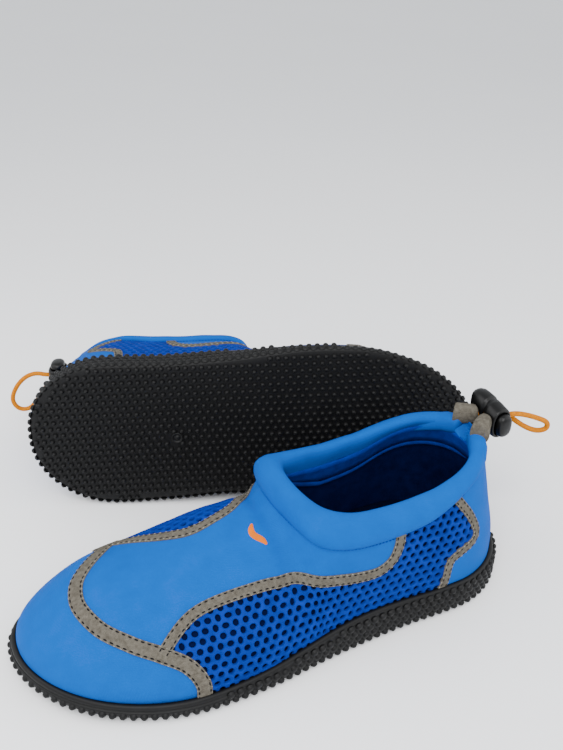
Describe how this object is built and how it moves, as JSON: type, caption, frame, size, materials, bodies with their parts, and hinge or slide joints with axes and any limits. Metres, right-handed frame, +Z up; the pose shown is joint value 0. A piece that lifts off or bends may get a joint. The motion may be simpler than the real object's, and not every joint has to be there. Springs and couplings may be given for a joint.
{
  "type": "pair of water shoes",
  "caption": "Pair of low-cut neoprene and mesh water shoes with studded rubber cup soles, padded collars and elastic cords with cord locks at the heels.",
  "frame": {"origin": "on the ground, under the middle of the pair's box without the free cord loops", "axes": "+Z up; +X from the left shoe's heel towards its toe; +Y towards the left shoe's outer side"},
  "size_m": [0.3004, 0.2857, 0.1062],
  "materials": {
    "neoprene": "matte knitted face",
    "air_mesh": "open air mesh with small round holes",
    "grey_tape": "woven binding tape with two rows of stitches",
    "sole_rubber": "matte moulded rubber",
    "sock_fabric": "dark brushed textile",
    "dark_lining": "dark knitted lining",
    "print": "flat heat-transfer print",
    "elastic_cord": "braided elastic",
    "lock_plastic": "satin moulded plastic",
    "spring_steel": "drawn wire"
  },
  "bodies": {
    "left_shoe": {"left_outsole": "sole_rubber", "left_lasting_sock": "sock_fabric", "left_insole": "sock_fabric", "left_toe_panel": "neoprene", "left_vamp_panel": "neoprene", "left_mesh_lateral": "air_mesh", "left_mesh_medial": "air_mesh", "left_heel_panel": "neoprene", "left_toe_band": "grey_tape", "left_side_band_lateral": "grey_tape", "left_side_band_medial": "grey_tape", "left_heel_band_lateral": "grey_tape", "left_heel_band_medial": "grey_tape", "left_collar": "neoprene", "left_collar_end_lateral": "grey_tape", "left_collar_end_medial": "grey_tape", "left_lining": "dark_lining", "left_instep_mark": "print", "left_elastic_cord": "elastic_cord"},
    "left_lock": {"left_cord_loop": "elastic_cord", "left_lock_body": "lock_plastic", "left_lock_spring": "spring_steel"},
    "left_button": {"left_lock_plunger": "lock_plastic"},
    "right_shoe": {"right_outsole": "sole_rubber", "right_lasting_sock": "sock_fabric", "right_insole": "sock_fabric", "right_toe_panel": "neoprene", "right_vamp_panel": "neoprene", "right_mesh_lateral": "air_mesh", "right_mesh_medial": "air_mesh", "right_heel_panel": "neoprene", "right_toe_band": "grey_tape", "right_side_band_lateral": "grey_tape", "right_side_band_medial": "grey_tape", "right_heel_band_lateral": "grey_tape", "right_heel_band_medial": "grey_tape", "right_collar": "neoprene", "right_collar_end_lateral": "grey_tape", "right_collar_end_medial": "grey_tape", "right_lining": "dark_lining", "right_instep_mark": "print", "right_elastic_cord": "elastic_cord"},
    "right_lock": {"right_cord_loop": "elastic_cord", "right_lock_body": "lock_plastic", "right_lock_spring": "spring_steel"},
    "right_button": {"right_lock_plunger": "lock_plastic"}
  },
  "joints": [
    {"name": "left_lock_slide", "type": "slide", "parent": "left_shoe", "child": "left_lock", "axis": [-1, 0, 0], "range_m": [0, 0.012], "deforming": ["left_cord_loop"]},
    {"name": "left_button_press", "type": "slide", "parent": "left_lock", "child": "left_button", "axis": [0, -1, 0], "range_m": [0, 0.003], "stiffness_N_per_m": 300, "springref_m": -0.002, "deforming": ["left_lock_spring"]},
    {"name": "right_shoe_lift", "type": "slide", "parent": "left_shoe", "child": "right_shoe", "axis": [0, 0, 1], "range_m": [0, 0.15]},
    {"name": "right_lock_slide", "type": "slide", "parent": "right_shoe", "child": "right_lock", "axis": [0.9127, -0.4063, -0.0436], "range_m": [0, 0.012], "deforming": ["right_cord_loop"]},
    {"name": "right_button_press", "type": "slide", "parent": "right_lock", "child": "right_button", "axis": [0.0029, 0.1131, -0.9936], "range_m": [0, 0.003], "stiffness_N_per_m": 300, "springref_m": -0.002, "deforming": ["right_lock_spring"]}
  ]
}
